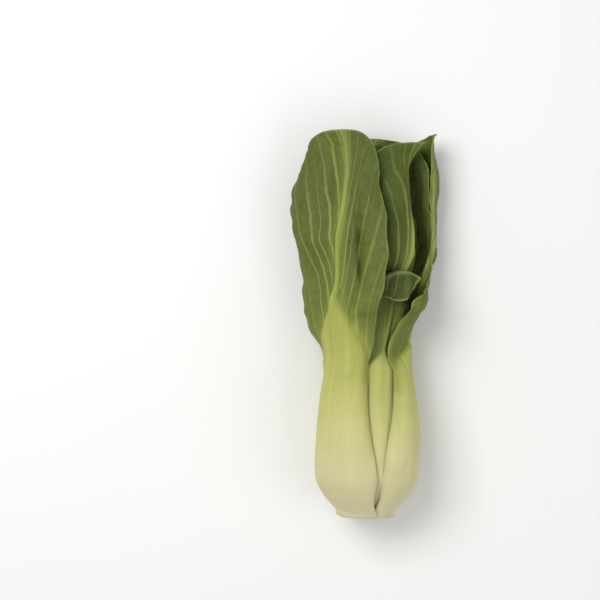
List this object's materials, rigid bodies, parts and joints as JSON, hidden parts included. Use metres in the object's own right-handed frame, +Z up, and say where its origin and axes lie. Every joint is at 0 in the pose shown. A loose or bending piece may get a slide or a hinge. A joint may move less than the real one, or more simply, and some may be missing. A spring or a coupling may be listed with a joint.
{
  "type": "bok choy",
  "caption": "One head of green-stalked bok choy lying on its side, with broad pale stalks wrapped round a cut stem and loose dark green leaf blades.",
  "frame": {"origin": "middle of the head's length and width, at the height of the surface that it lies on", "axes": "+Y from the cut stem to the leaf tips, +Z up from the surface, +X to the right in the picture"},
  "size_m": [0.1077, 0.261, 0.0671],
  "materials": {
    "stem_cream": "satin",
    "stalk_pale_green": "satin",
    "blade_green": "satin"
  },
  "bodies": {
    "root": {"base": "stem_cream", "leaf_01_stalk": "stalk_pale_green", "leaf_01_blade": "blade_green", "leaf_02_stalk": "stalk_pale_green", "leaf_02_blade": "blade_green", "leaf_03_stalk": "stalk_pale_green", "leaf_03_blade": "blade_green", "leaf_04_stalk": "stalk_pale_green", "leaf_04_blade": "blade_green", "leaf_05_stalk": "stalk_pale_green", "leaf_05_blade": "blade_green", "leaf_06_stalk": "stalk_pale_green", "leaf_06_blade": "blade_green", "leaf_07_stalk": "stalk_pale_green", "leaf_07_blade": "blade_green", "leaf_08_stalk": "stalk_pale_green", "leaf_08_blade": "blade_green", "leaf_09_stalk": "stalk_pale_green", "leaf_09_blade": "blade_green", "leaf_10_stalk": "stalk_pale_green", "leaf_10_blade": "blade_green", "leaf_11_stalk": "stalk_pale_green", "leaf_11_blade": "blade_green", "leaf_12_stalk": "stalk_pale_green", "leaf_12_blade": "blade_green"}
  },
  "joints": []
}
